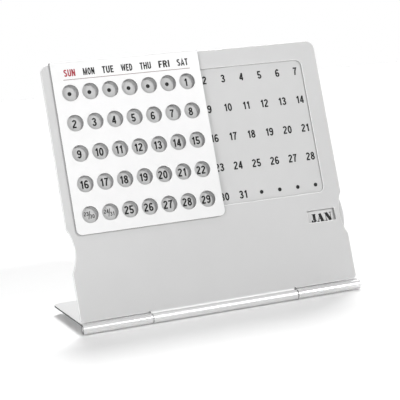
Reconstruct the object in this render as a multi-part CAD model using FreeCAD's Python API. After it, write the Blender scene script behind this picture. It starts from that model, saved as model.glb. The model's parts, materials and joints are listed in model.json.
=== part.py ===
import FreeCAD, Part
import math
import os

# Perpetual desk calendar of folded metal sheet, in millimetres.
# Origin: centre of the footprint on the table. +X to the viewer's right, +Y to the back, +Z up.
# The panel is drawn upright, with x across, y into the panel from its front face and z up along it
# from the hinge axis, and is then leant back on its hinge.

# Panel
panel_width = 130.0
panel_height = 114.9
panel_sheet = 0.9
panel_top_radius = 4.0
panel_bottom_radius = 2.0
panel_lean = 14.0

# Finger notches, month window and month disc share one height on the panel
dial_height = 33.5
notch_radius = 20.0
notch_depth = 2.5
notch_shoulder = 1.2
window_width = 13.6
window_height = 5.5
window_margin = 4.8
window_corner = 0.4

# Date grid, spread evenly between the panel's side edges, its top edge and the lowest row
date_columns = 13
slider_columns = 7
date_rows = 5
grid_side_inset = 11.36
grid_top_inset = 13.56
lowest_row_height = 47.9

# Opening of the date field around the grid
field_side_margin = 3.36
field_top_margin = 5.1
field_bottom_margin = 3.65
field_corner = 3.0

# Rolled hinge along the bottom edge
barrel_radius = 2.15
pin_radius = 1.23
pin_clearance = 0.02
pin_end_recess = 0.6
middle_knuckle_length = 67.8
knuckle_gap = 0.3
swing_gap = 0.4
relief_radius = 0.45
rest_gap = 0.03

# Foot plate and its pads
foot_sheet = 0.9
foot_depth = 52.8
foot_corner = 4.0
table_gap = 0.3
pad_radius = 4.5
pad_edge = 0.4
pad_side_inset = 11.0
pad_front_inset = 10.0
pad_back_inset = 9.0

# Date plate behind the front plate
date_sheet = 0.4
date_side_inset = 3.5
date_top_inset = 6.0
date_bottom_inset = 1.0
date_window_margin = 0.8

# Month disc on its post
disc_radius = 28.5
disc_sheet = 0.8
disc_gap = 0.05
hub_radius = 6.0
hub_height = 0.15
post_radius = 2.5
post_clearance = 0.05
post_end_gap = 0.1

# Cone washer that presses on the disc
washer_outer_radius = 4.8
washer_bore_clearance = 0.15
washer_sheet = 0.3
washer_height = 0.6
washer_gap = 0.03

# Back cover, a shallow tray
cover_sheet = 0.6
cover_side_inset = 5.0
cover_top_inset = 11.9
cover_bottom_height = 4.0
cover_corner = 4.0
rim_slot_clearance = 1.4

# Studs and nuts of the cover
stud_radius = 1.0
stud_wall_inset = 5.0
stud_end = 0.5
stud_hole_clearance = 0.2
nut_clearance = 0.02
nut_across_flats = 4.0
nut_height = 1.2

# Date slider
slider_sheet = 0.5
slider_side_margin = 7.13
slider_bottom_margin = 8.3
slider_corner = 2.5
slider_hole_web = 1.64
slider_gap = 0.05
bend_radius = 0.3
leg_length = 9.5
leg_corner = 1.5

# Liner on the back of the slider
liner_sheet = 0.55
liner_inset = 0.6
liner_hole_clearance = 0.3
liner_top_inset = 1.4

# Stop studs at the ends of the slider's travel
stop_radius = 1.0
stop_length = 1.3
stop_clearance = 0.15
stop_top_inset = 3.4

# Places worked out from the sizes above
lean = math.radians(panel_lean)
hinge_y = -(foot_depth - barrel_radius) / 2
hinge_z = barrel_radius + table_gap
face_offset = barrel_radius - panel_sheet
half_panel = panel_width / 2
half_knuckle = middle_knuckle_length / 2
panel_bottom = (barrel_radius + rest_gap + barrel_radius * math.sin(lean)) / math.cos(lean)
first_column_x = -half_panel + grid_side_inset
column_pitch = -2 * first_column_x / (date_columns - 1)
top_row_height = panel_height - grid_top_inset
row_pitch = (top_row_height - lowest_row_height) / (date_rows - 1)
field_half_width = -first_column_x + field_side_margin
date_front = panel_sheet
date_back = date_front + date_sheet
window_x = half_panel - window_margin - window_width / 2
disc_x = half_panel - disc_radius
disc_front = date_back + disc_gap + hub_height
disc_back = disc_front + disc_sheet
cover_inner = disc_back + washer_gap + washer_height
cover_back = cover_inner + cover_sheet
cover_half = half_panel - cover_side_inset
cover_top = panel_height - cover_top_inset
slider_hole_radius = (column_pitch - slider_hole_web) / 2
slider_left = first_column_x - slider_side_margin
slider_width = column_pitch * (slider_columns - 1) + 2 * slider_side_margin
slider_bottom = lowest_row_height - slider_bottom_margin
slider_front = -(slider_gap + liner_sheet + slider_sheet)
travel = column_pitch * (date_columns - slider_columns)


def slab(x0, x1, y0, y1, z0, z1):
    """A box between two corners."""
    return Part.makeBox(x1 - x0, y1 - y0, z1 - z0, FreeCAD.Vector(x0, y0, z0))


def rod_y(radius, x, z, y0, y1):
    """A round rod along y."""
    return Part.makeCylinder(radius, y1 - y0, FreeCAD.Vector(x, y0, z), FreeCAD.Vector(0, 1, 0))


def rod_x(radius, x0, x1):
    """A round rod along x on the hinge axis of the upright panel frame."""
    start = FreeCAD.Vector(x0, 0, 0)
    return Part.makeCylinder(radius, x1 - x0, start, FreeCAD.Vector(1, 0, 0))


def round_corners(shape, corners, radius):
    """Rounds the edges that run along y at the given (x, z) corners."""
    chosen = []
    for edge in shape.Edges:
        low = edge.BoundBox
        if low.XLength > 0.001 or low.ZLength > 0.001:
            continue
        for x, z in corners:
            if abs(low.XMin - x) < 0.01 and abs(low.ZMin - z) < 0.01:
                chosen.append(edge)
                break
    return shape.makeFillet(radius, chosen)


def rounded_slab(x0, x1, y0, y1, z0, z1, radius):
    """A box with its four corners rounded in the x-z plane."""
    corners = [(x0, z0), (x1, z0), (x1, z1), (x0, z1)]
    return round_corners(slab(x0, x1, y0, y1, z0, z1), corners, radius)


def lean_back(shape):
    """Takes a shape from the upright panel frame to its place on the hinge."""
    placed = shape.copy()
    placed.translate(FreeCAD.Vector(0, face_offset, 0))
    placed.rotate(FreeCAD.Vector(0, 0, 0), FreeCAD.Vector(1, 0, 0), -panel_lean)
    placed.translate(FreeCAD.Vector(0, hinge_y, hinge_z))
    return placed


def rolled_knuckle(x0, x1):
    """A closed roll around the pin, on the hinge axis."""
    return rod_x(barrel_radius, x0, x1).cut(rod_x(pin_radius + pin_clearance, x0, x1))


def stud_places():
    """The four stud centres, set in from the cover's walls."""
    side = cover_half - stud_wall_inset
    low = cover_bottom_height + stud_wall_inset
    high = cover_top - stud_wall_inset
    return [(-side, low), (side, low), (-side, high), (side, high)]


def grid_centres(columns):
    """The centres of the date grid's first columns."""
    for row in range(date_rows):
        for column in range(columns):
            x = first_column_x + column * column_pitch
            yield x, lowest_row_height + row * row_pitch


def window_cut(margin, y0, y1):
    """The month window, widened by a margin."""
    half = window_width / 2 + margin
    rise = window_height / 2 + margin
    x0 = window_x - half
    x1 = window_x + half
    return rounded_slab(x0, x1, y0, y1, dial_height - rise, dial_height + rise, window_corner)


def front_plate():
    """Front sheet with field opening, window, notches and the rolled middle knuckle."""
    plate = slab(-half_panel, half_panel, 0, panel_sheet, panel_bottom, panel_height)
    plate = round_corners(plate, [(-half_panel, panel_height), (half_panel, panel_height)], panel_top_radius)
    plate = round_corners(plate, [(-half_panel, panel_bottom), (half_panel, panel_bottom)], panel_bottom_radius)
    notch_x = half_panel + notch_radius - notch_depth
    half_chord = math.sqrt(notch_radius ** 2 - (notch_radius - notch_depth) ** 2)
    shoulders = []
    for side in (-1, 1):
        plate = plate.cut(rod_y(notch_radius, side * notch_x, dial_height, 0, panel_sheet))
        shoulders.append((side * half_panel, dial_height - half_chord))
        shoulders.append((side * half_panel, dial_height + half_chord))
    plate = round_corners(plate, shoulders, notch_shoulder)
    field = rounded_slab(-field_half_width, field_half_width, 0, panel_sheet,
                         lowest_row_height - field_bottom_margin, top_row_height + field_top_margin,
                         field_corner)
    plate = plate.cut(field)
    plate = plate.cut(window_cut(0, 0, panel_sheet))
    for side in (-1, 1):
        relief_x = side * (half_knuckle + relief_radius)
        plate = plate.cut(rod_y(relief_radius, relief_x, panel_bottom, 0, panel_sheet))
    neck = slab(-half_knuckle, half_knuckle, 0, panel_sheet, 0, panel_bottom)
    knuckle = rod_x(barrel_radius, -half_knuckle, half_knuckle)
    knuckle.translate(FreeCAD.Vector(0, -face_offset, 0))
    bore = rod_x(pin_radius + pin_clearance, -half_knuckle, half_knuckle)
    bore.translate(FreeCAD.Vector(0, -face_offset, 0))
    return lean_back(plate.fuse([neck, knuckle]).cut(bore).removeSplitter())


def date_plate():
    """Printed inner sheet, seen through the field opening."""
    side = half_panel - date_side_inset
    bottom = panel_bottom + date_bottom_inset
    plate = slab(-side, side, date_front, date_back, bottom, panel_height - date_top_inset)
    return lean_back(plate.cut(window_cut(date_window_margin, date_front, date_back)))


def month_disc():
    """Flat disc with a low hub ring in front, turning on the post."""
    disc = rod_y(disc_radius, disc_x, dial_height, disc_front, disc_back)
    hub = rod_y(hub_radius, disc_x, dial_height, disc_front - hub_height, disc_front)
    bore = rod_y(post_radius + post_clearance, disc_x, dial_height, disc_front - hub_height, disc_back)
    return lean_back(disc.fuse(hub).cut(bore))


def dial_post():
    """Post welded to the back of the date plate."""
    return lean_back(rod_y(post_radius, disc_x, dial_height, date_back, cover_inner - post_end_gap))


def cone_washer():
    """Coned spring ring between the disc and the cover, wide end on the disc."""
    bore_radius = post_radius + washer_bore_clearance
    wide_y = disc_back + washer_gap
    narrow_y = cover_inner
    points = [
        FreeCAD.Vector(disc_x + bore_radius, narrow_y, dial_height),
        FreeCAD.Vector(disc_x + bore_radius, narrow_y - washer_sheet, dial_height),
        FreeCAD.Vector(disc_x + washer_outer_radius, wide_y, dial_height),
        FreeCAD.Vector(disc_x + washer_outer_radius, wide_y + washer_sheet, dial_height),
    ]
    section = Part.Face(Part.makePolygon(points + [points[0]]))
    centre = FreeCAD.Vector(disc_x, 0, dial_height)
    return lean_back(section.revolve(centre, FreeCAD.Vector(0, 1, 0), 360))


def back_cover():
    """Shallow tray over the dial, its right wall open where the disc's rim comes out."""
    tray = rounded_slab(-cover_half, cover_half, date_back, cover_back,
                        cover_bottom_height, cover_top, cover_corner)
    hollow = rounded_slab(-cover_half + cover_sheet, cover_half - cover_sheet, date_back, cover_inner,
                          cover_bottom_height + cover_sheet, cover_top - cover_sheet,
                          cover_corner - cover_sheet)
    tray = tray.cut(hollow)
    wall_x = cover_half - cover_sheet
    half_slot = math.sqrt(disc_radius ** 2 - (wall_x - disc_x) ** 2) + rim_slot_clearance
    tray = tray.cut(slab(wall_x, cover_half, date_back, cover_inner,
                         dial_height - half_slot, dial_height + half_slot))
    for x, z in stud_places():
        tray = tray.cut(rod_y(stud_radius + stud_hole_clearance, x, z, cover_inner, cover_back))
    return lean_back(tray)


def cover_studs():
    """Four plain studs welded to the back of the date plate."""
    end = cover_back + nut_height + stud_end
    studs = [rod_y(stud_radius, x, z, date_back, end) for x, z in stud_places()]
    return lean_back(Part.makeCompound(studs))


def cover_nuts():
    """Thin hexagon nuts on the studs."""
    nuts = []
    corner = nut_across_flats / math.sqrt(3)
    for x, z in stud_places():
        points = []
        for step in range(7):
            angle = math.radians(60 * step)
            points.append(FreeCAD.Vector(x + corner * math.cos(angle), cover_back, z + corner * math.sin(angle)))
        body = Part.Face(Part.makePolygon(points)).extrude(FreeCAD.Vector(0, nut_height, 0))
        bore = rod_y(stud_radius + nut_clearance, x, z, cover_back, cover_back + nut_height)
        nuts.append(body.cut(bore))
    return lean_back(Part.makeCompound(nuts))


def slider_mask():
    """Folded sheet with the date holes, hooked over the panel's top edge."""
    x0 = slider_left
    x1 = slider_left + slider_width
    top = panel_height + slider_gap
    leg_front = date_back + slider_gap
    leg_back = leg_front + slider_sheet
    front_back = slider_front + slider_sheet
    outer_bend = bend_radius + slider_sheet
    outer = slab(x0, x1, slider_front, leg_back, slider_bottom, top + slider_sheet)
    inner = slab(x0, x1, front_back, leg_front, slider_bottom, top)
    outer_edges = []
    for edge in outer.Edges:
        box = edge.BoundBox
        if box.YLength < 0.001 and box.ZLength < 0.001 and box.ZMin > top:
            outer_edges.append(edge)
    inner_edges = []
    for edge in inner.Edges:
        box = edge.BoundBox
        if box.YLength < 0.001 and box.ZLength < 0.001 and box.ZMin > slider_bottom:
            inner_edges.append(edge)
    mask = outer.makeFillet(outer_bend, outer_edges).cut(inner.makeFillet(bend_radius, inner_edges))
    leg_bottom = top - leg_length
    mask = mask.cut(slab(x0, x1, leg_front, leg_back, slider_bottom, leg_bottom))
    mask = round_corners(mask, [(x0, slider_bottom), (x1, slider_bottom)], slider_corner)
    mask = round_corners(mask, [(x0, leg_bottom), (x1, leg_bottom)], leg_corner)
    holes = [rod_y(slider_hole_radius, x, z, slider_front, front_back) for x, z in grid_centres(slider_columns)]
    return lean_back(mask.cut(Part.makeCompound(holes)))


def slider_liner():
    """Thin liner on the mask's back, with wider holes than the mask."""
    back = -slider_gap
    front = back - liner_sheet
    x0 = slider_left + liner_inset
    x1 = slider_left + slider_width - liner_inset
    liner = slab(x0, x1, front, back, slider_bottom + liner_inset, panel_height - liner_top_inset)
    bottom = slider_bottom + liner_inset
    liner = round_corners(liner, [(x0, bottom), (x1, bottom)], slider_corner - liner_inset)
    radius = slider_hole_radius + liner_hole_clearance
    holes = [rod_y(radius, x, z, front, back) for x, z in grid_centres(slider_columns)]
    return lean_back(liner.cut(Part.makeCompound(holes)))


def stop_studs():
    """Two studs on the front plate's back that end the slider's travel."""
    reach = -slider_left + stop_clearance + stop_radius
    z = panel_height - stop_top_inset
    studs = [rod_y(stop_radius, side * reach, z, panel_sheet, panel_sheet + stop_length) for side in (-1, 1)]
    return lean_back(Part.makeCompound(studs))


def foot_plate():
    """Sheet behind the hinge with the two outer knuckles rolled from its front edge."""
    top = barrel_radius
    bottom = top - foot_sheet
    plate = Part.makeBox(panel_width, foot_depth, foot_sheet, FreeCAD.Vector(-half_panel, 0, bottom))
    back_corners = []
    for edge in plate.Edges:
        box = edge.BoundBox
        if box.ZLength > foot_sheet / 2 and box.YMin > foot_depth / 2:
            back_corners.append(edge)
    plate = plate.makeFillet(foot_corner, back_corners)
    inner_end = half_knuckle + knuckle_gap
    swing = barrel_radius * ((1 + math.sin(lean)) * math.tan(lean) + math.cos(lean)) + swing_gap
    mouth = Part.makeBox(2 * inner_end, swing + barrel_radius, foot_sheet,
                         FreeCAD.Vector(-inner_end, -barrel_radius, bottom))
    plate = plate.cut(mouth).cut(rod_x(pin_radius + pin_clearance, -half_panel, half_panel))
    left = rolled_knuckle(-half_panel, -inner_end)
    right = rolled_knuckle(inner_end, half_panel)
    foot = plate.fuse([left, right]).removeSplitter()
    foot.translate(FreeCAD.Vector(0, hinge_y, hinge_z))
    return foot


def hinge_pin():
    """Straight pin through all three knuckles."""
    pin = rod_x(pin_radius, -half_panel + pin_end_recess, half_panel - pin_end_recess)
    pin.translate(FreeCAD.Vector(0, hinge_y, hinge_z))
    return pin


def foot_pads():
    """Four rubber pads under the foot plate."""
    height = hinge_z + barrel_radius - foot_sheet
    pads = []
    for x in (-half_panel + pad_side_inset, half_panel - pad_side_inset):
        for y in (hinge_y + pad_front_inset, hinge_y + foot_depth - pad_back_inset):
            pad = Part.makeCylinder(pad_radius, height, FreeCAD.Vector(x, y, 0))
            lower = [edge for edge in pad.Edges if edge.BoundBox.ZMax < height / 2]
            pads.append(pad.makeFillet(pad_edge, lower))
    return Part.makeCompound(pads)


nodes = {
    "front_plate": front_plate,
    "date_plate": date_plate,
    "month_disc": month_disc,
    "dial_post": dial_post,
    "cone_washer": cone_washer,
    "back_cover": back_cover,
    "cover_studs": cover_studs,
    "cover_nuts": cover_nuts,
    "slider_mask": slider_mask,
    "slider_liner": slider_liner,
    "stop_studs": stop_studs,
    "foot_plate": foot_plate,
    "hinge_pin": hinge_pin,
    "foot_pads": foot_pads,
}

os.makedirs("parts", exist_ok=True)
for name, make in nodes.items():
    shape = make()
    shape.exportStep("parts/" + name + ".step")
    box = shape.BoundBox
    print(name, len(shape.Solids), "solids", "valid", shape.isValid(), "volume %.1f" % shape.Volume,
          "x %.2f %.2f y %.2f %.2f z %.2f %.2f" % (box.XMin, box.XMax, box.YMin, box.YMax, box.ZMin, box.ZMax))
print("slider travel %.2f, hinge axis y %.3f z %.3f" % (travel, hinge_y, hinge_z))
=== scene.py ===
import json
import math

import bmesh
import bpy
import numpy as np
from mathutils import Matrix, Vector


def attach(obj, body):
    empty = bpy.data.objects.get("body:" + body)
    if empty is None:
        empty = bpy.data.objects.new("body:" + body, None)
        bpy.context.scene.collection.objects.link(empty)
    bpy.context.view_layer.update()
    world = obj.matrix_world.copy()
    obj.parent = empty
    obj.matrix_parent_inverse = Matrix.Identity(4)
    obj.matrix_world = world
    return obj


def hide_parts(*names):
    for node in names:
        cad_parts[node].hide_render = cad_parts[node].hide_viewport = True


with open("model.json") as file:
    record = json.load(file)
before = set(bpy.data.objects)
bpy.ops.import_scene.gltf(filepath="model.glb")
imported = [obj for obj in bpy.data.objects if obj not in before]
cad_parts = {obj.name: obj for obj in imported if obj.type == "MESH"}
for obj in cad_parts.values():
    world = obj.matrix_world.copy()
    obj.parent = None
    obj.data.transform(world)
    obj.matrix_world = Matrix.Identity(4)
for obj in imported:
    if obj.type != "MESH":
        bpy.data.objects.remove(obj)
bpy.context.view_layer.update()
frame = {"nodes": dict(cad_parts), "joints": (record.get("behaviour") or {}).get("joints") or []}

# Camera: a long lens about 56 cm off, a little to the left of the calendar's front and just above its top
# edge, turned down and held slightly askew. Its place and turns come from a fit to the photo.
camera_place = Vector((-0.18684, -0.52879, 0.11759))
camera_turn = math.radians(19.584)
camera_fall = math.radians(7.174)
camera_roll = math.radians(-5.158)
camera_lens = 112.65

forward = Vector((math.sin(camera_turn) * math.cos(camera_fall),
                  math.cos(camera_turn) * math.cos(camera_fall),
                  -math.sin(camera_fall)))
level = forward.cross(Vector((0, 0, 1))).normalized()
upright = level.cross(forward)
right = level * math.cos(camera_roll) + upright * math.sin(camera_roll)
up = upright * math.cos(camera_roll) - level * math.sin(camera_roll)
camera_data = bpy.data.cameras.new("camera")
camera_data.lens = camera_lens
camera_data.clip_start = 0.01
camera_data.clip_end = 50
camera = bpy.data.objects.new("camera", camera_data)
camera.matrix_world = Matrix((right, up, -forward)).transposed().to_4x4()
camera.location = camera_place
bpy.context.scene.collection.objects.link(camera)
bpy.context.scene.camera = camera
bpy.context.scene.view_settings.view_transform = "Standard"

# Floor: a plain white table top, wide enough to run out of sight. It is lit like the rest, so it holds
# the calendar's shadow, and a faint glow for the camera's own rays takes the lit part to white.
floor_half = 3.0
floor_drop = 0.00002
floor_glow = 0.08
floor_grain = 60.0


class Value:
    """A number that varies over a surface. Python's operators on it add Math nodes to its graph."""

    def __init__(self, graph, socket):
        self.graph = graph
        self.socket = socket

    def __add__(self, other):
        return self.graph.math("ADD", self, other)

    def __sub__(self, other):
        return self.graph.math("SUBTRACT", self, other)

    def __rsub__(self, other):
        return self.graph.math("SUBTRACT", other, self)

    def __mul__(self, other):
        return self.graph.math("MULTIPLY", self, other)

    __radd__ = __add__
    __rmul__ = __mul__


class Graph:
    """A node tree that is built up by method calls."""

    def __init__(self, tree):
        self.nodes = tree.nodes
        self.links = tree.links

    def plug(self, socket, value):
        """Links a Value to a socket, or sets the socket to a plain number or colour."""
        if isinstance(value, Value):
            self.links.new(value.socket, socket)
        else:
            socket.default_value = value

    def node(self, kind, settings, sockets, output=0):
        """Adds any node: its settings first, then its sockets by name or number."""
        node = self.nodes.new(kind)
        for key, value in settings.items():
            setattr(node, key, value)
        for key, value in sockets.items():
            self.plug(node.inputs[key], value)
        return Value(self, node.outputs[output])

    def math(self, operation, a, b):
        return self.node("ShaderNodeMath", {"operation": operation}, {0: a, 1: b})

    def ray(self, kind):
        """1 for that kind of ray, such as Is Camera Ray, and 0 for any other."""
        return self.node("ShaderNodeLightPath", {}, {}, output=kind)


class Finish(Graph):
    """A procedural material built up around one Principled shader."""

    def __init__(self, name, **constants):
        self.material = bpy.data.materials.new(name)
        self.material.use_nodes = True
        super().__init__(self.material.node_tree)
        self.shader = self.nodes["Principled BSDF"]
        for key, value in constants.items():
            self.shader.inputs[key.replace("_", " ").title().replace("Ior", "IOR")].default_value = value

    def smooth(self, value, low, high):
        """0 below low, 1 above high, and an easy curve between them."""
        return self.node("ShaderNodeMapRange", {"interpolation_type": "SMOOTHSTEP"},
                         {"Value": value, "From Min": low, "From Max": high})

    def mix(self, share, first, second):
        """A colour that goes from the first to the second."""
        return self.node("ShaderNodeMix", {"data_type": "RGBA"}, {0: share, 6: first, 7: second}, output=2)

    def place(self):
        """Object coordinates, in metres."""
        return self.node("ShaderNodeTexCoord", {}, {}, output="Object")

    def stretched(self, scales):
        """Object coordinates stretched along the axes."""
        return self.node("ShaderNodeMapping", {}, {"Vector": self.place(), "Scale": scales})

    def grain(self, vector, scale, detail=2.0):
        """Smooth noise about 0.5, with so many waves to the metre."""
        return self.node("ShaderNodeTexNoise", {}, {"Vector": vector, "Scale": scale, "Detail": detail})

    def bump(self, height, distance, strength=1.0):
        """Raises the surface by the height, which runs to the distance in metres."""
        normal = self.node("ShaderNodeBump", {},
                           {"Height": height, "Distance": distance, "Strength": strength})
        self.plug(self.shader.inputs["Normal"], normal)

    def colour(self, value):
        self.plug(self.shader.inputs["Base Color"], value)

    def rough(self, value):
        self.plug(self.shader.inputs["Roughness"], value)


def grey(level):
    """A neutral colour of one linear level."""
    return (level, level, level, 1.0)


floor_mesh = bpy.data.meshes.new("floor")
floor_mesh.from_pydata([(-floor_half, -floor_half, -floor_drop), (floor_half, -floor_half, -floor_drop),
                        (floor_half, floor_half, -floor_drop), (-floor_half, floor_half, -floor_drop)],
                       [], [(0, 1, 2, 3)])
floor = bpy.data.objects.new("floor", floor_mesh)
bpy.context.scene.collection.objects.link(floor)
table = Finish("table_top", roughness=0.9)
table.colour(table.mix(table.grain(table.place(), floor_grain), grey(0.90), grey(0.93)))
table.plug(table.shader.inputs["Emission Color"], grey(1.0))
table.plug(table.shader.inputs["Emission Strength"],
           (table.ray("Is Camera Ray") + table.ray("Is Glossy Ray")) * floor_glow)
floor_mesh.materials.append(table.material)

# World: an even white studio tent round the table. It is white to the camera, a little darker in glossy
# reflections, and dim as a light, so that the lamps model the sheet.
tent_level = 0.14
tent_glare = 0.70
world = bpy.data.worlds.new("tent")
world.use_nodes = True
bpy.context.scene.world = world
tent = Graph(world.node_tree)
background = tent.nodes["Background"]
background.inputs["Color"].default_value = grey(1.0)
tent.plug(background.inputs["Strength"], tent.ray("Is Camera Ray") * (1 - tent_level)
          + tent.ray("Is Glossy Ray") * (tent_glare - tent_level) + tent_level)


# Lamps: the key, a small sun to the right of the viewer, draws the dark crescents in the slider's holes.
# A broad lamp high behind throws the soft shadow forward, a weak broad one overhead lights the lips that
# face up, and a near softbox on the left shades the face from left to right.
def sunlight(name, bearing, height, softness, strength):
    """A soft distant lamp, so many degrees to the right of the viewer and above the floor."""
    data = bpy.data.lights.new(name, "SUN")
    data.angle = math.radians(softness)
    data.energy = strength
    lamp = bpy.data.objects.new(name, data)
    turn = math.radians(bearing)
    rise = math.radians(height)
    towards = Vector((math.sin(turn) * math.cos(rise), -math.cos(turn) * math.cos(rise), math.sin(rise)))
    lamp.rotation_mode = "QUATERNION"
    lamp.rotation_quaternion = (-towards).to_track_quat("-Z", "Y")
    bpy.context.scene.collection.objects.link(lamp)


def softbox(name, place, aim, size, power):
    """A square soft lamp that points from its place at the aim, in metres and watts."""
    data = bpy.data.lights.new(name, "AREA")
    data.size = size
    data.energy = power
    lamp = bpy.data.objects.new(name, data)
    lamp.location = place
    lamp.rotation_mode = "QUATERNION"
    lamp.rotation_quaternion = (Vector(aim) - Vector(place)).to_track_quat("-Z", "Y")
    bpy.context.scene.collection.objects.link(lamp)


sunlight("overhead", -40, 84, 20, 0.5)
sunlight("key", 27, 30, 4, 1.08)
sunlight("back", 158, 54, 22, 2.2)
softbox("fill", (-0.42, -0.34, 0.16), (-0.03, -0.01, 0.06), 0.2, 1.0)

# Front plate: one sheet of silver-anodised aluminium, sheared, pierced for the date field and the month
# window, and rolled along its bottom edge into the hinge's long middle knuckle. A last cut breaks its
# edges and leaves them narrow and bright.
millimetre = 0.001
lean = math.radians(14.0)
hinge_line = Vector(frame["joints"][0]["pos_m"])
face_offset = 0.00125
roll_reach = 0.0024
weld_distance = 1e-6
flat_angle = math.radians(0.3)
sharp_angle = math.radians(30)
bevel_angle = math.radians(40)
front_edge = 0.00024
cloud_scale = 22.0
blast_scale = 5200.0
blast_depth = 0.000012
knuckle_level = 0.80


def on_panel(across, depth, height):
    """Points on the leaning panel in metres, from arrays in millimetres across it, into it and up it from
    the hinge: up along the lean by the height, and back at right angles to the panel by the depth."""
    out = height * millimetre
    back = depth * millimetre + face_offset
    return np.stack([across * millimetre + 0 * out,
                     hinge_line.y + out * math.sin(lean) + back * math.cos(lean),
                     hinge_line.z + out * math.cos(lean) - back * math.sin(lean)], axis=-1)


def soft_edged(node, name, width, body, segments=2):
    """A welded copy of a CAD node whose sharp edges are broken by a bevel of that width in metres."""
    mesh = frame["nodes"][node].data.copy()
    mesh.name = name
    mesh.materials.clear()
    work = bmesh.new()
    work.from_mesh(mesh)
    bmesh.ops.remove_doubles(work, verts=work.verts, dist=weld_distance)
    bmesh.ops.dissolve_limit(work, angle_limit=flat_angle, verts=work.verts, edges=work.edges)
    work.to_mesh(mesh)
    work.free()
    mesh.polygons.foreach_set("use_smooth", np.ones(len(mesh.polygons), dtype=bool))
    mesh.set_sharp_from_angle(angle=sharp_angle)
    piece = bpy.data.objects.new(name, mesh)
    bpy.context.scene.collection.objects.link(piece)
    bevel = piece.modifiers.new("broken_edges", "BEVEL")
    bevel.width = width
    bevel.segments = segments
    bevel.limit_method = "ANGLE"
    bevel.angle_limit = bevel_angle
    bevel.use_clamp_overlap = False
    bevel.harden_normals = True
    bevel.material = 0
    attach(piece, body)
    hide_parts(node)
    return piece


def anodised(name, level, roughness):
    """Blasted and anodised aluminium: a fine even grain, with a slow change of tone over the sheet. Rolling
    burnishes the hinge's knuckles, which are smoother and brighter than the flat."""
    finish = Finish(name, specular_ior_level=0.5)
    cloud = finish.grain(finish.place(), cloud_scale, detail=3.0)
    fine = finish.grain(finish.place(), blast_scale)
    tone = finish.smooth(cloud * 0.7 + fine * 0.3, 0.25, 0.75)
    off_axis = finish.node("ShaderNodeVectorMath", {"operation": "DISTANCE"},
                           {0: finish.stretched((0, 1, 1)), 1: (0, hinge_line.y, hinge_line.z)}, output=1)
    flat = finish.smooth(off_axis, roll_reach, 1.5 * roll_reach)
    satin = finish.mix(tone, grey(level * 0.965), grey(level * 1.035))
    finish.colour(finish.mix(flat, grey(knuckle_level), satin))
    finish.rough(roughness * 0.6 + flat * (roughness * 0.4) + (cloud - 0.5) * 0.08)
    finish.plug(finish.shader.inputs["Metallic"], 0.6 - flat * 0.48)
    finish.bump(fine, blast_depth)
    return finish.material


def bare_edges(piece, sheet_normal, rolled_line, rolled_reach, material):
    """Gives the second material to the sheared edges: the faces that lie across the sheet, apart from the
    outside of its roll or fold, which is within a reach of a line along x."""
    mesh = piece.data
    count = len(mesh.polygons)
    normals = np.empty(3 * count)
    centres = np.empty(3 * count)
    mesh.polygons.foreach_get("normal", normals)
    mesh.polygons.foreach_get("center", centres)
    normals = normals.reshape(-1, 3)
    centres = centres.reshape(-1, 3)
    across_sheet = np.abs(normals @ np.array(sheet_normal)) < 0.35
    end_face = np.abs(normals[:, 0]) > 0.7
    outside_roll = np.hypot(centres[:, 1] - rolled_line.y, centres[:, 2] - rolled_line.z) > rolled_reach
    mesh.materials.append(material)
    mesh.polygons.foreach_set("material_index", (across_sheet & (end_face | outside_roll)).astype(np.int32))


panel_normal = (0, math.cos(lean), -math.sin(lean))
sheared = Finish("sheared_aluminium", metallic=0.5)
shear_lines = sheared.grain(sheared.stretched((1.0, 0.2, 0.2)), 4000.0)
sheared.colour(sheared.mix(shear_lines, grey(0.40), grey(0.54)))
sheared.rough(0.30 + shear_lines * 0.15)
front = soft_edged("front_plate", "front_sheet", front_edge, "panel", segments=3)
front.data.materials.append(anodised("front_anodised", 0.57, 0.52))
bare_edges(front, panel_normal, hinge_line, roll_reach, sheared.material)
bright_cut = Finish("bright_cut_edge", metallic=0.3, specular_ior_level=0.5)
cut_lines = bright_cut.grain(bright_cut.place(), 2500.0)
bright_cut.colour(bright_cut.mix(cut_lines, grey(0.76), grey(0.84)))
bright_cut.rough(0.30 + cut_lines * 0.1)
front.data.materials.append(bright_cut.material)
front.modifiers["broken_edges"].material = len(front.data.materials) - 1

# Date plate: a thinner sheet of the same metal, fixed behind the field opening, which carries the printed
# dates. Its sheared edges are painted near black: painted shade that keeps the window's walls and the
# gaps dark.
date_edge = 0.00006

# Painted shade: a near-black colour for sheared edges, standing in for the shadow that falls on them.
edge_shade = Finish("edges_painted_shade", roughness=0.6, specular_ior_level=0.3)
edge_shade.colour(edge_shade.mix(edge_shade.grain(edge_shade.place(), 3000.0), grey(0.05), grey(0.09)))
back_sheet = soft_edged("date_plate", "date_sheet", date_edge, "panel")
back_sheet.data.materials.append(anodised("date_anodised", 0.57, 0.52))
bare_edges(back_sheet, panel_normal, hinge_line, roll_reach, edge_shade.material)


# Printed dates: screen-printed black figures of a narrow plain face, with round dots in the cells that no
# day falls in. The first two cells of the lowest row hold two small days each, parted by a slash.
def line(*corners):
    """A centre line through corners."""
    return np.array(corners, float)


def arc(x, y, across, rise, start, end, steps=9):
    """Part of an ellipse about (x, y), between two angles in degrees."""
    turn = np.radians(np.linspace(start, end, steps))
    return np.stack([x + across * np.cos(turn), y + rise * np.sin(turn)], axis=1)


def ring(x, y, across, rise, steps=16):
    """A closed ellipse, without its last point."""
    return arc(x, y, across, rise, 90, 450, steps + 1)[:-1]


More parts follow.
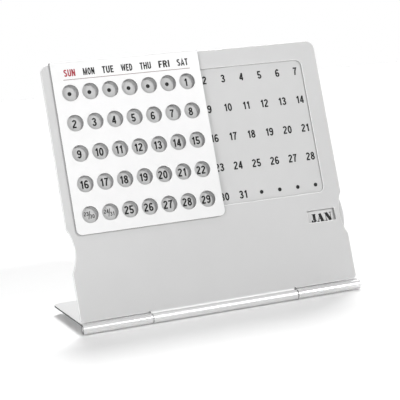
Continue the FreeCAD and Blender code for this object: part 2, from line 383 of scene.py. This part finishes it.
def stroke(centre, half, closed=False):
    """Both sides of a pen stroke: each point of the centre line goes out by half the stroke's width along
    the mean normal of the runs before and after it, further at a corner so that the width holds."""
    if closed:
        before = centre - np.roll(centre, 1, axis=0)
        after = np.roll(centre, -1, axis=0) - centre
    else:
        runs = np.diff(centre, axis=0)
        before = np.vstack([runs[:1], runs])
        after = np.vstack([runs, runs[-1:]])
    before = before / np.linalg.norm(before, axis=1, keepdims=True)
    after = after / np.linalg.norm(after, axis=1, keepdims=True)
    mean = before + after
    mean = mean / np.linalg.norm(mean, axis=1, keepdims=True)
    normal = np.stack([-mean[:, 1], mean[:, 0]], axis=1)
    reach = (half / np.maximum((mean * after).sum(axis=1), 0.45))[:, None]
    return centre + normal * reach, centre - normal * reach, closed


def dot(x, y, radius, steps=11):
    """A round spot as a stroke that swells from almost nothing to the radius and back."""
    turn = np.radians(np.linspace(12, 168, steps))
    centre = np.stack([x - radius * np.cos(turn), np.full(steps, float(y))], axis=1)
    return stroke(centre, radius * np.sin(turn))


plain_half = 0.098
plain_figures = {
    "0": (0.55, [(ring(0.275, 0.5, 0.19, 0.428), True)]),
    "1": (0.42, [(line((0.30, 0), (0.30, 1)), False),
                 (line((0.08, 0.76), (0.20, 0.79), (0.29, 0.93)), False)]),
    "2": (0.55, [(np.vstack([arc(0.275, 0.735, 0.185, 0.193, 170, -30),
                             line((0.25, 0.37), (0.10, 0.16), (0.10, 0.072), (0.50, 0.072))]), False)]),
    "3": (0.55, [(arc(0.262, 0.745, 0.175, 0.183, 168, -85), False),
                 (arc(0.265, 0.285, 0.195, 0.213, 85, -165), False),
                 (line((0.19, 0.527), (0.29, 0.527)), False)]),
    "4": (0.57, [(line((0.39, 0), (0.39, 1)), False), (line((0.37, 0.93), (0.075, 0.27)), False),
                 (line((0.02, 0.262), (0.54, 0.262)), False)]),
    "5": (0.55, [(line((0.48, 0.928), (0.13, 0.928), (0.10, 0.48)), False),
                 (arc(0.265, 0.305, 0.198, 0.232, 146, -163), False)]),
    "6": (0.55, [(ring(0.28, 0.293, 0.19, 0.22), True), (arc(0.30, 0.50, 0.215, 0.428, 42, 205), False)]),
    "7": (0.52, [(line((0.03, 0.928), (0.44, 0.928), (0.28, 0.55), (0.19, 0)), False)]),
    "8": (0.55, [(ring(0.275, 0.745, 0.162, 0.183), True), (ring(0.275, 0.287, 0.193, 0.216), True)]),
    "/": (0.40, [(line((0.05, -0.1), (0.35, 1.1)), False)]),
}
nine = [(np.array([0.55, 1.0]) - centre, closed) for centre, closed in plain_figures["6"][1]]
plain_figures["9"] = (0.55, nine)


def write(text, x, y, height, letters, half, spacing, squeeze=1.0):
    """The strokes of a word that is centred on (x, y), from a table of each letter's width and lines."""
    width = sum(letters[c][0] for c in text) + spacing * (len(text) - 1)
    pen = -width / 2
    marks = []
    for c in text:
        for centre, closed in letters[c][1]:
            left, right_side, closed = stroke(centre, half, closed)
            size = np.array([height * squeeze, height])
            shift = np.array([pen, -0.5])
            offset = np.array([x, y])
            marks.append(((left + shift) * size + offset, (right_side + shift) * size + offset, closed))
        pen += letters[c][0] + spacing
    return marks


ink_rise = 0.02
ink_root = 0.01


def printed(name, marks, face, body, material):
    """One mesh of flat inked strokes that stand a hair proud of the panel at the depth given by face. Each
    stroke is a thin closed bar: four rows of points along it, joined in turn, with a cap at each open
    end."""
    points = []
    faces = []
    first = 0
    for left, right_side, closed in marks:
        count = len(left)
        rows = [(left, face + ink_root), (left, face - ink_rise), (right_side, face - ink_rise),
                (right_side, face + ink_root)]
        points.append(np.stack([on_panel(flat[:, 0], depth, flat[:, 1]) for flat, depth in rows], axis=1))
        stations = np.arange(count if closed else count - 1)
        here = (stations[:, None] * 4 + np.arange(4)).ravel() + first
        beside = (stations[:, None] * 4 + (np.arange(4) + 1) % 4).ravel() + first
        ahead = ((stations[:, None] + 1) % count * 4 + np.arange(4)).ravel() + first
        ahead_beside = ((stations[:, None] + 1) % count * 4 + (np.arange(4) + 1) % 4).ravel() + first
        faces.extend(np.stack([here, ahead, ahead_beside, beside], axis=1).tolist())
        if not closed:
            last = first + 4 * (count - 1)
            faces.append([first, first + 1, first + 2, first + 3])
            faces.append([last + 3, last + 2, last + 1, last])
        first += 4 * count
    mesh = bpy.data.meshes.new(name)
    mesh.from_pydata(np.vstack([p.reshape(-1, 3) for p in points]).tolist(), [], faces)
    mesh.materials.append(material)
    work = bmesh.new()
    work.from_mesh(mesh)
    bmesh.ops.recalc_face_normals(work, faces=work.faces)
    work.to_mesh(mesh)
    work.free()
    piece = bpy.data.objects.new(name, mesh)
    bpy.context.scene.collection.objects.link(piece)
    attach(piece, body)
    return piece


def ink(name, colour, worn):
    """Screen ink: satin, with a slightly uneven density where the mesh of the screen laid it down."""
    finish = Finish(name, roughness=0.45, specular_ior_level=0.15)
    density = finish.smooth(finish.grain(finish.place(), 2600.0, detail=3.0), 0.35, 0.7)
    finish.colour(finish.mix(density, colour, worn))
    return finish.material


week = 7
date_rows = 5
date_columns = 13
first_day_column = 6
last_day = 31
column_pitch = 8.94
row_pitch = 13.36
first_column = -53.64
lowest_row = 47.9
date_face = 0.9
figure_height = 3.5
figure_gap = 0.1
dot_radius = 0.9
split_cells = 2
split_height = 1.75
slash_height = 2.9
slash_half = 0.05
split_half = 0.085
split_step = 1.25
split_rise = 0.62

date_marks = []
for row in range(date_rows):
    for column in range(date_columns):
        day = week * row + column - first_day_column + 1
        x = first_column + column * column_pitch
        y = lowest_row + (date_rows - 1 - row) * row_pitch
        if row == date_rows - 1 and column < split_cells:
            date_marks += write(str(day), x - split_step, y + split_rise, split_height, plain_figures,
                                split_half, figure_gap)
            date_marks += write("/", x, y, slash_height, plain_figures, slash_half, figure_gap)
            date_marks += write(str(day + week), x + split_step, y - split_rise, split_height, plain_figures,
                                split_half, figure_gap)
        elif 1 <= day <= last_day:
            date_marks += write(str(day), x, y, figure_height, plain_figures, plain_half, figure_gap)
        else:
            date_marks.append(dot(x, y, dot_radius))
black_ink = ink("black_ink", grey(0.012), grey(0.03))
dates = printed("date_figures", date_marks, date_face, "panel", black_ink)

# Month disc: a flat aluminium disc behind the window, with the twelve month names printed along its
# radii in a heavy face of thick and hairline strokes.
frame["nodes"]["month_disc"].data.materials.clear()
frame["nodes"]["month_disc"].data.materials.append(anodised("disc_anodised", 0.58, 0.42))

thick = 0.185
thin = 0.042


def stem(x, low=0.0, high=1.0):
    """A heavy upright with a hairline serif at each end."""
    return [(line((x, low), (x, high)), thick), foot(x, low + thin), foot(x, high - thin)]


def foot(x, y, half_length=0.27):
    """A hairline serif."""
    return (line((x - half_length, y), (x + half_length, y)), thin)


def hair(*corners):
    """A hairline."""
    return (line(*corners), thin)


def bowl(x, y, across, rise, start, end, steps=13):
    """A curved stroke that is heavy where it runs upright and a hairline where it runs level."""
    turn = np.radians(np.linspace(start, end, steps))
    return (arc(x, y, across, rise, start, end, steps), thin + (thick - thin) * np.abs(np.cos(turn)) ** 1.5)


def ball(x, y, radius=0.12):
    """A round terminal."""
    turn = np.radians(np.linspace(12, 168, 9))
    return (np.stack([x - radius * np.cos(turn), np.full(9, float(y))], axis=1), radius * np.sin(turn))


serif_letters = {
    "J": (0.62, [(line((0.42, 0.25), (0.42, 1)), thick), foot(0.40, 0.968),
                 bowl(0.24, 0.26, 0.25, 0.23, 0, -130),
                 ball(0.12, 0.15)]),
    "A": (0.86, [hair((0.12, 0), (0.42, 0.96)), (line((0.40, 0.98), (0.70, 0)), thick),
                 hair((0.24, 0.32), (0.60, 0.32)),
                 foot(0.12, 0.032, 0.16), foot(0.68, 0.032, 0.24)]),
    "N": (0.98, [hair((0.18, 0), (0.18, 1)), (line((0.24, 0.98), (0.76, 0.02)), thick),
                 hair((0.82, 0), (0.82, 1)),
                 foot(0.18, 0.032, 0.16), foot(0.14, 0.968, 0.18), foot(0.82, 0.968, 0.16)]),
    "F": (0.80, stem(0.28) + [hair((0.28, 0.968), (0.74, 0.968), (0.76, 0.72)),
                              hair((0.28, 0.5), (0.58, 0.5)),
                              hair((0.58, 0.36), (0.58, 0.64))]),
    "E": (0.84, stem(0.28) + [hair((0.28, 0.968), (0.74, 0.968), (0.76, 0.74)),
                              hair((0.28, 0.5), (0.58, 0.5)),
                              hair((0.58, 0.36), (0.58, 0.64)),
                              hair((0.28, 0.032), (0.76, 0.032), (0.79, 0.28))]),
    "B": (0.86, stem(0.28) + [hair((0.28, 0.968), (0.46, 0.968)), bowl(0.46, 0.74, 0.18, 0.228, 90, -90),
                              hair((0.28, 0.512), (0.5, 0.512)), bowl(0.48, 0.272, 0.22, 0.24, 90, -90),
                              hair((0.28, 0.032), (0.48, 0.032))]),
    "M": (1.14, [hair((0.16, 0), (0.16, 1)), (line((0.24, 0.98), (0.56, 0.02)), thick),
                 hair((0.56, 0.04), (0.84, 0.96)),
                 (line((0.92, 0), (0.92, 1)), thick), foot(0.16, 0.032, 0.15), foot(0.92, 0.032),
                 foot(0.15, 0.968, 0.16),
                 foot(0.92, 0.968)]),
    "R": (0.90, stem(0.28) + [hair((0.28, 0.968), (0.46, 0.968)), bowl(0.46, 0.74, 0.19, 0.228, 90, -90),
                              hair((0.28, 0.512), (0.48, 0.512)),
                              (line((0.50, 0.50), (0.66, 0.06)), thick * 0.85),
                              hair((0.66, 0.032), (0.86, 0.032))]),
    "P": (0.84, stem(0.28) + [hair((0.28, 0.968), (0.46, 0.968)), bowl(0.46, 0.72, 0.2, 0.248, 90, -90),
                              hair((0.28, 0.472), (0.48, 0.472))]),
    "Y": (0.90, [(line((0.20, 0.98), (0.46, 0.45)), thick), hair((0.46, 0.45), (0.76, 0.98)),
                 (line((0.46, 0), (0.46, 0.5)), thick), foot(0.46, 0.032), foot(0.20, 0.968),
                 foot(0.76, 0.968, 0.13)]),
    "U": (0.92, [(line((0.26, 0.3), (0.26, 1)), thick), foot(0.26, 0.968),
                 bowl(0.50, 0.3, 0.26, 0.268, 180, 360),
                 hair((0.76, 0.3), (0.76, 1)), foot(0.76, 0.968, 0.15)]),
    "L": (0.78, stem(0.28) + [hair((0.28, 0.032), (0.70, 0.032), (0.73, 0.30))]),
    "G": (0.92, [bowl(0.46, 0.5, 0.3, 0.468, 60, 300), (line((0.72, 0.05), (0.72, 0.44)), thick * 0.85),
                 foot(0.70, 0.44, 0.22), hair((0.70, 0.98), (0.70, 0.70))]),
    "S": (0.72, [bowl(0.35, 0.74, 0.2, 0.228, 60, 250), (line((0.22, 0.62), (0.5, 0.38)), thick * 0.9),
                 bowl(0.37, 0.26, 0.2, 0.228, 70, -120), hair((0.56, 0.98), (0.56, 0.72)),
                 hair((0.14, 0.02), (0.14, 0.28))]),
    "O": (0.92, [bowl(0.46, 0.5, 0.3, 0.468, 90, 450, 25)]),
    "C": (0.88, [bowl(0.46, 0.5, 0.3, 0.468, 55, 305), ball(0.68, 0.80, 0.09),
                 hair((0.66, 0.04), (0.76, 0.26))]),
    "T": (0.84, [(line((0.42, 0), (0.42, 1)), thick), foot(0.42, 0.032),
                 hair((0.08, 0.72), (0.09, 0.968), (0.75, 0.968), (0.76, 0.72))]),
    "V": (0.88, [(line((0.20, 0.98), (0.46, 0.02)), thick), hair((0.46, 0.03), (0.74, 0.98)),
                 foot(0.20, 0.968),
                 foot(0.74, 0.968, 0.14)]),
    "D": (0.92, stem(0.28) + [hair((0.28, 0.968), (0.46, 0.968)), bowl(0.44, 0.5, 0.3, 0.468, 90, -90, 15),
                              hair((0.28, 0.032), (0.46, 0.032))]),
}
month_names = ("JAN", "FEB", "MAR", "APR", "MAY", "JUN", "JUL", "AUG", "SEP", "OCT", "NOV", "DEC")
disc_centre = np.array([36.5, 33.5])
disc_face = 1.5
name_radius = 17.4
name_height = 3.7
name_drop = 0.72
name_gap = 0.17
name_step = 30

month_marks = []
for month, text in enumerate(month_names):
    turn = math.radians(name_step * month)
    spin = np.array([[math.cos(turn), math.sin(turn)], [-math.sin(turn), math.cos(turn)]])
    width = sum(serif_letters[c][0] for c in text) + name_gap * (len(text) - 1)
    pen = -width / 2
    for c in text:
        for centre, half in serif_letters[c][1]:
            left, right_side, closed = stroke(centre, half)
            sides = []
            for side in (left, right_side):
                flat = (side + np.array([pen, -0.5])) * name_height + np.array([name_radius, -name_drop])
                sides.append(flat @ spin + disc_centre)
            month_marks.append((sides[0], sides[1], closed))
        pen += serif_letters[c][0] + name_gap
months = printed("month_names", month_marks, disc_face, "dial", black_ink)

# Date slider: one folded sheet, powder-coated near-white, pierced with five rows of seven round holes and
# hooked over the panel's top edge. A thin liner on its back, with wider holes, runs on the panel. Its
# near-black colour is painted shade that darkens the crescents seen inside the holes.
slider_edge = 0.00007
fold_depth = 0.4
fold_height = 114.6
fold_reach = 0.002

mask = soft_edged("slider_mask", "slider_sheet", slider_edge, "slider")
coat = Finish("white_coat", specular_ior_level=0.5)
peel = coat.grain(coat.place(), 900.0)
haze = coat.grain(coat.place(), 18.0)
coat.colour(coat.mix(haze, grey(0.80), grey(0.84)))
coat.rough(0.36 + (peel - 0.5) * 0.1)
coat.bump(peel, 0.00002, 0.6)
mask.data.materials.append(coat.material)
fold_line = Vector(on_panel(np.array(0.0), fold_depth, fold_height).tolist())
# Painted shade: the hole walls are coloured near black, standing in for the shadowed crescents in the holes.
hole_wall_shade = Finish("hole_walls_painted_shade", metallic=0.3, roughness=0.55, specular_ior_level=0.3)
punch_lines = hole_wall_shade.grain(hole_wall_shade.place(), 3000.0)
hole_wall_shade.colour(hole_wall_shade.mix(punch_lines, grey(0.03), grey(0.06)))
bare_edges(mask, panel_normal, fold_line, fold_reach, hole_wall_shade.material)

# Painted shade: the liner's near-black colour darkens the crescents seen inside the slider's holes.
liner = Finish("liner_painted_shade", roughness=0.6)
liner_grain = liner.grain(liner.place(), 1800.0)
liner.colour(liner.mix(liner_grain, grey(0.03), grey(0.055)))
liner.bump(liner_grain, 0.00001)
frame["nodes"]["slider_liner"].data.materials.clear()
frame["nodes"]["slider_liner"].data.materials.append(liner.material)

# Weekday names: bold narrow capitals screen-printed above the columns of holes, the first in red and the
# rest in black, over a fine dull red rule.
cap_half = 0.094
plain_capitals = {
    "S": (0.52, [(np.vstack([arc(0.26, 0.735, 0.168, 0.177, 25, 255),
                             arc(0.26, 0.282, 0.172, 0.194, 75, -158)]), False)]),
    "U": (0.52, [(np.vstack([line((0.09, 1)), arc(0.26, 0.275, 0.17, 0.187, 180, 360), line((0.43, 1))]),
                  False)]),
    "N": (0.54, [(line((0.09, 0), (0.09, 1)), False), (line((0.45, 0), (0.45, 1)), False),
                 (line((0.10, 0.95), (0.44, 0.05)), False)]),
    "M": (0.68, [(line((0.09, 0), (0.09, 1)), False), (line((0.59, 0), (0.59, 1)), False),
                 (line((0.11, 0.95), (0.34, 0.12), (0.57, 0.95)), False)]),
    "O": (0.54, [(ring(0.27, 0.5, 0.18, 0.412), True)]),
    "T": (0.46, [(line((0, 0.912), (0.46, 0.912)), False), (line((0.23, 0), (0.23, 0.9)), False)]),
    "E": (0.44, [(line((0.43, 0.912), (0.09, 0.912), (0.09, 0.088), (0.43, 0.088)), False),
                 (line((0.1, 0.51), (0.40, 0.51)), False)]),
    "W": (0.74, [(line((0.07, 1), (0.21, 0.08)), False),
                 (line((0.21, 0.08), (0.37, 0.92), (0.53, 0.08)), False),
                 (line((0.53, 0.08), (0.67, 1)), False)]),
    "D": (0.52, [(line((0.09, 0), (0.09, 1)), False),
                 (np.vstack([line((0.1, 0.912)), arc(0.22, 0.5, 0.21, 0.412, 90, -90),
                             line((0.1, 0.088))]), False)]),
    "H": (0.54, [(line((0.09, 0), (0.09, 1)), False), (line((0.45, 0), (0.45, 1)), False),
                 (line((0.1, 0.52), (0.44, 0.52)), False)]),
    "F": (0.44, [(line((0.44, 0.912), (0.09, 0.912), (0.09, 0)), False),
                 (line((0.1, 0.5), (0.38, 0.5)), False)]),
    "R": (0.52, [(line((0.09, 0), (0.09, 1)), False),
                 (np.vstack([line((0.1, 0.912)), arc(0.25, 0.715, 0.17, 0.197, 90, -90),
                             line((0.1, 0.518))]), False),
                 (line((0.27, 0.5), (0.44, 0)), False)]),
    "I": (0.18, [(line((0.09, 0), (0.09, 1)), False)]),
    "A": (0.56, [(line((0.07, 0), (0.28, 0.95), (0.49, 0)), False),
                 (line((0.14, 0.28), (0.42, 0.28)), False)]),
}
weekdays = ("SUN", "MON", "TUE", "WED", "THU", "FRI", "SAT")
slider_face = -1.1
weekday_height = 3.15
weekday_line = 110.2
weekday_pitch = 8.66
weekday_width = 5.1
weekday_gap = 0.09
weekday_nudge = 0.13
weekday_centre = (len(weekdays) - 1) // 2
weekday_middle = first_column + weekday_centre * column_pitch + weekday_nudge
rule_height = 107.2
rule_ends = (-55.8, 2.4)
rule_half = 0.12

weekday_marks = []
for place, text in enumerate(weekdays):
    natural = weekday_height * (sum(plain_capitals[c][0] for c in text) + weekday_gap * (len(text) - 1))
    x = weekday_middle + (place - weekday_centre) * weekday_pitch
    weekday_marks.append(write(text, x, weekday_line, weekday_height, plain_capitals, cap_half, weekday_gap,
                               weekday_width / natural))
red_ink = ink("red_ink", (0.36, 0.03, 0.05, 1.0), (0.46, 0.06, 0.08, 1.0))
rule_ink = ink("rule_ink", (0.20, 0.13, 0.13, 1.0), (0.30, 0.20, 0.20, 1.0))
sunday = printed("sunday_name", weekday_marks[0], slider_face, "slider", red_ink)
others = printed("weekday_names", sum(weekday_marks[1:], []), slider_face, "slider", black_ink)
rule_line = line((rule_ends[0], rule_height), (rule_ends[1], rule_height))
rule = printed("weekday_rule", [stroke(rule_line, rule_half)], slider_face, "slider", rule_ink)

# Foot plate: a sheet of the same aluminium that stands on four pads behind the hinge. The two outer
# knuckles are rolled from its front edge, and its sheared edges are painted near black: painted shade,
# the dark line where the plate meets its shadow on the table.
foot_edge = 0.00009

foot_piece = soft_edged("foot_plate", "foot_sheet", foot_edge, "foot")
# Painted light: the foot's level is set above the panel's to brighten its top, which lies in the panel's
# shade.
foot_piece.data.materials.append(anodised("foot_anodised_painted_light", 0.72, 0.36))
bare_edges(foot_piece, (0, 0, 1), hinge_line, roll_reach, edge_shade.material)

# Back cover: a shallow pressed tray of thinner aluminium sheet that closes the dial. Four nuts hold it on
# studs welded to the date plate.
cover_edge = 0.00008

cover = soft_edged("back_cover", "cover_tray", cover_edge, "panel")
cover.data.materials.append(anodised("cover_anodised", 0.60, 0.48))


# Small steel parts, turned or stamped from bright steel: the hinge pin, the weld studs and their nuts, the
# slider's stop studs, the dial's post and the coned washer that keeps the dial where it is put.
small_edge = 0.0001
turning_scale = 900.0
turning_depth = 0.000006


def turned_steel(name, level, roughness):
    """Bright drawn steel with fine turning lines."""
    finish = Finish(name, metallic=1.0)
    lines = finish.grain(finish.stretched((6.0, 1.0, 1.0)), turning_scale, detail=3.0)
    finish.colour(finish.mix(lines, grey(level * 0.92), grey(level)))
    finish.rough(roughness + (lines - 0.5) * 0.12)
    finish.bump(lines, turning_depth)
    return finish.material


steel = turned_steel("drawn_steel", 0.62, 0.28)
for node in ("dial_post", "cone_washer"):
    frame["nodes"][node].data.materials.clear()
    frame["nodes"][node].data.materials.append(steel)
for node, name, body in (("hinge_pin", "hinge_rod", "foot"), ("cover_studs", "weld_studs", "panel"),
                         ("cover_nuts", "hexagon_nuts", "panel"), ("stop_studs", "end_stops", "panel")):
    small = soft_edged(node, name, small_edge, body)
    small.data.materials.append(steel)

# Foot pads: four round buttons of black rubber, stuck under the foot plate so that it stands clear of the
# table and doesn't slide.
pad_edge = 0.00015

pads = soft_edged("foot_pads", "rubber_pads", pad_edge, "foot")
rubber = Finish("black_rubber", roughness=0.75)
pad_grain = rubber.grain(rubber.place(), 2400.0, detail=3.0)
rubber.colour(rubber.mix(pad_grain, grey(0.02), grey(0.045)))
rubber.bump(pad_grain, 0.00003)
pads.data.materials.append(rubber.material)
